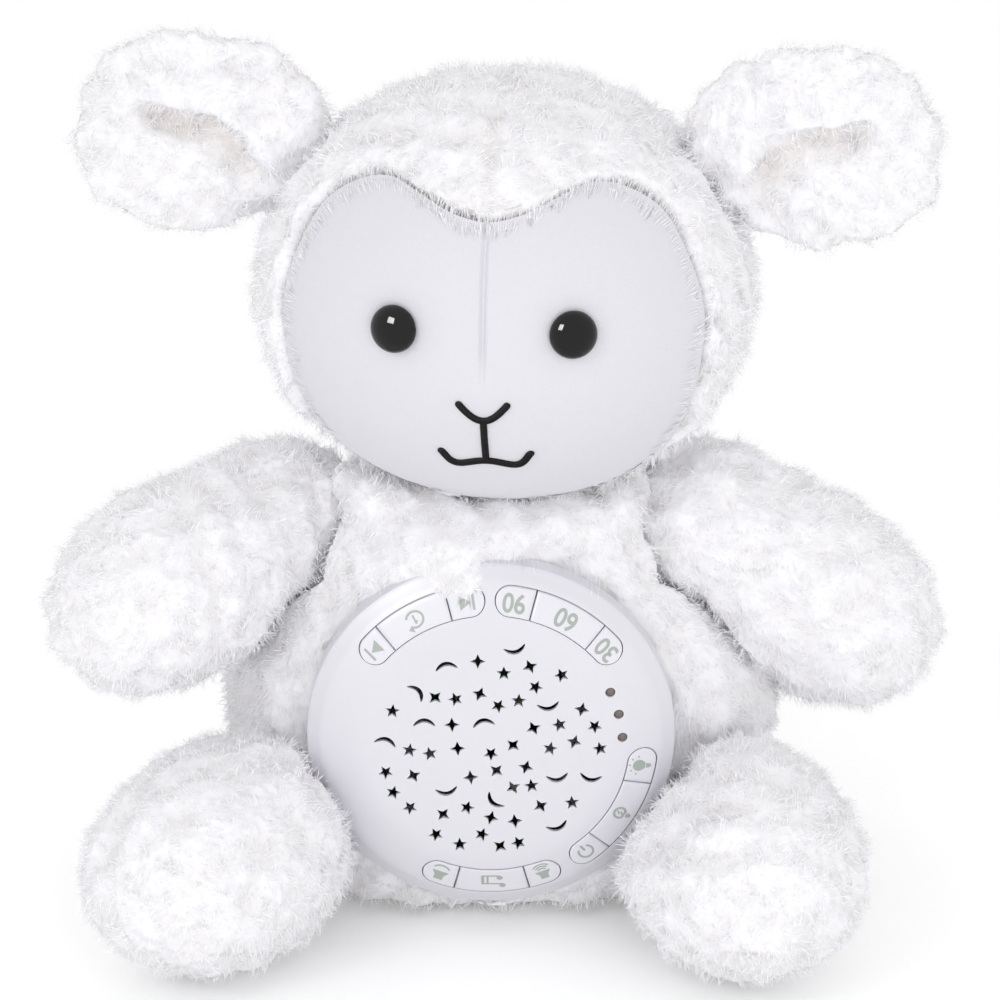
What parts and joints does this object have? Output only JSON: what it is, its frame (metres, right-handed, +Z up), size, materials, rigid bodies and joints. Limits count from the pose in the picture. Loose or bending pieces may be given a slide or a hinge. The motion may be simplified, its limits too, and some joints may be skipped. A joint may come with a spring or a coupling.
{
  "type": "plush night light",
  "caption": "Sitting plush lamb with a round star light and sound module in its belly; the head turns, the arms lift, the ears swing and the buttons press.",
  "frame": {"origin": "middle of the flat patch under the torso, on the surface the lamb sits on", "axes": "+Z up; the lamb faces -Y; +X is the viewer's right, the lamb's own left"},
  "size_m": [0.2747, 0.1802, 0.2732],
  "materials": {
    "fur": "long curly plush pile",
    "velour": "short velour pile",
    "binding": "sewn knit tape",
    "thread": "satin stitched thread",
    "eye_plastic": "polished",
    "washer_plastic": "plain",
    "cover_plastic": "fine satin",
    "case_plastic": "plain",
    "board": "printed board",
    "window": "smoked",
    "lamp": "clear moulded",
    "drum": "plain, light-tight",
    "steel": "plated",
    "paper_cone": "pressed paper",
    "ferrite": "sintered",
    "cell": "printed sleeve"
  },
  "bodies": {
    "body": {"torso": "fur", "left_leg": "fur", "right_leg": "fur", "pocket_ring": "binding", "front_cover": "cover_plastic", "rear_case": "case_plastic", "case_screw_1": "steel", "case_screw_2": "steel", "case_screw_3": "steel", "case_screw_4": "steel", "case_screw_5": "steel", "battery_door": "case_plastic", "battery_door_screw": "steel", "battery_cell_1": "cell", "battery_cell_2": "cell", "battery_cell_3": "cell", "left_battery_contacts": "steel", "right_battery_contacts": "steel", "button_board": "board", "indicator_lamp_1": "window", "indicator_lamp_2": "window", "indicator_lamp_3": "window", "lamp_board": "board", "star_lamp_1": "lamp", "star_lamp_2": "lamp", "star_lamp_3": "lamp", "light_chamber": "drum", "speaker_frame": "steel", "speaker_cone": "paper_cone", "speaker_magnet": "ferrite"},
    "head": {"head": "fur", "face_panel": "velour", "mouth_stitching": "thread", "left_eye": "eye_plastic", "left_eye_washer": "washer_plastic", "right_eye": "eye_plastic", "right_eye_washer": "washer_plastic"},
    "left_arm": {"left_arm": "fur"},
    "right_arm": {"right_arm": "fur"},
    "left_ear": {"left_ear": "fur"},
    "right_ear": {"right_ear": "fur"},
    "next_button": {"next_button": "cover_plastic"},
    "repeat_button": {"repeat_button": "cover_plastic"},
    "previous_button": {"previous_button": "cover_plastic"},
    "timer_30_button": {"timer_30_button": "cover_plastic"},
    "timer_60_button": {"timer_60_button": "cover_plastic"},
    "timer_90_button": {"timer_90_button": "cover_plastic"},
    "power_button": {"power_button": "cover_plastic"},
    "dim_button": {"dim_button": "cover_plastic"},
    "bright_button": {"bright_button": "cover_plastic"},
    "volume_down_button": {"volume_down_button": "cover_plastic"},
    "song_button": {"song_button": "cover_plastic"},
    "volume_up_button": {"volume_up_button": "cover_plastic"}
  },
  "joints": [
    {"name": "head_turn", "type": "hinge", "parent": "body", "child": "head", "pos_m": [0.0045, -0.008, 0.194], "axis": [0, 0, 1], "range_deg": [-15, 15], "stiffness_Nm_per_rad": 0.3},
    {"name": "left_arm_raise", "type": "hinge", "parent": "body", "child": "left_arm", "pos_m": [-0.06396, 0, 0.11703], "axis": [0, 1, 0], "range_deg": [0, 35], "stiffness_Nm_per_rad": 0.25},
    {"name": "right_arm_raise", "type": "hinge", "parent": "body", "child": "right_arm", "pos_m": [0.06396, 0, 0.11703], "axis": [0, -1, 0], "range_deg": [0, 35], "stiffness_Nm_per_rad": 0.25},
    {"name": "left_ear_swing", "type": "hinge", "parent": "head", "child": "left_ear", "pos_m": [-0.056, -0.00164, 0.23487], "axis": [-0.3073, 0.0323, -0.9511], "range_deg": [-20, 20], "stiffness_Nm_per_rad": 0.03},
    {"name": "right_ear_swing", "type": "hinge", "parent": "head", "child": "right_ear", "pos_m": [0.065, -0.01436, 0.23487], "axis": [0.3073, -0.0323, -0.9511], "range_deg": [-20, 20], "stiffness_Nm_per_rad": 0.03},
    {"name": "next_press", "type": "slide", "parent": "body", "child": "next_button", "axis": [0, 1, 0], "range_m": [0, 0.0008], "stiffness_N_per_m": 500},
    {"name": "repeat_press", "type": "slide", "parent": "body", "child": "repeat_button", "axis": [0, 1, 0], "range_m": [0, 0.0008], "stiffness_N_per_m": 500},
    {"name": "previous_press", "type": "slide", "parent": "body", "child": "previous_button", "axis": [0, 1, 0], "range_m": [0, 0.0008], "stiffness_N_per_m": 500},
    {"name": "timer_30_press", "type": "slide", "parent": "body", "child": "timer_30_button", "axis": [0, 1, 0], "range_m": [0, 0.0008], "stiffness_N_per_m": 500},
    {"name": "timer_60_press", "type": "slide", "parent": "body", "child": "timer_60_button", "axis": [0, 1, 0], "range_m": [0, 0.0008], "stiffness_N_per_m": 500},
    {"name": "timer_90_press", "type": "slide", "parent": "body", "child": "timer_90_button", "axis": [0, 1, 0], "range_m": [0, 0.0008], "stiffness_N_per_m": 500},
    {"name": "power_press", "type": "slide", "parent": "body", "child": "power_button", "axis": [0, 1, 0], "range_m": [0, 0.0008], "stiffness_N_per_m": 500},
    {"name": "dim_press", "type": "slide", "parent": "body", "child": "dim_button", "axis": [0, 1, 0], "range_m": [0, 0.0008], "stiffness_N_per_m": 500},
    {"name": "bright_press", "type": "slide", "parent": "body", "child": "bright_button", "axis": [0, 1, 0], "range_m": [0, 0.0008], "stiffness_N_per_m": 500},
    {"name": "volume_down_press", "type": "slide", "parent": "body", "child": "volume_down_button", "axis": [0, 1, 0], "range_m": [0, 0.0008], "stiffness_N_per_m": 500},
    {"name": "song_press", "type": "slide", "parent": "body", "child": "song_button", "axis": [0, 1, 0], "range_m": [0, 0.0008], "stiffness_N_per_m": 500},
    {"name": "volume_up_press", "type": "slide", "parent": "body", "child": "volume_up_button", "axis": [0, 1, 0], "range_m": [0, 0.0008], "stiffness_N_per_m": 500}
  ]
}
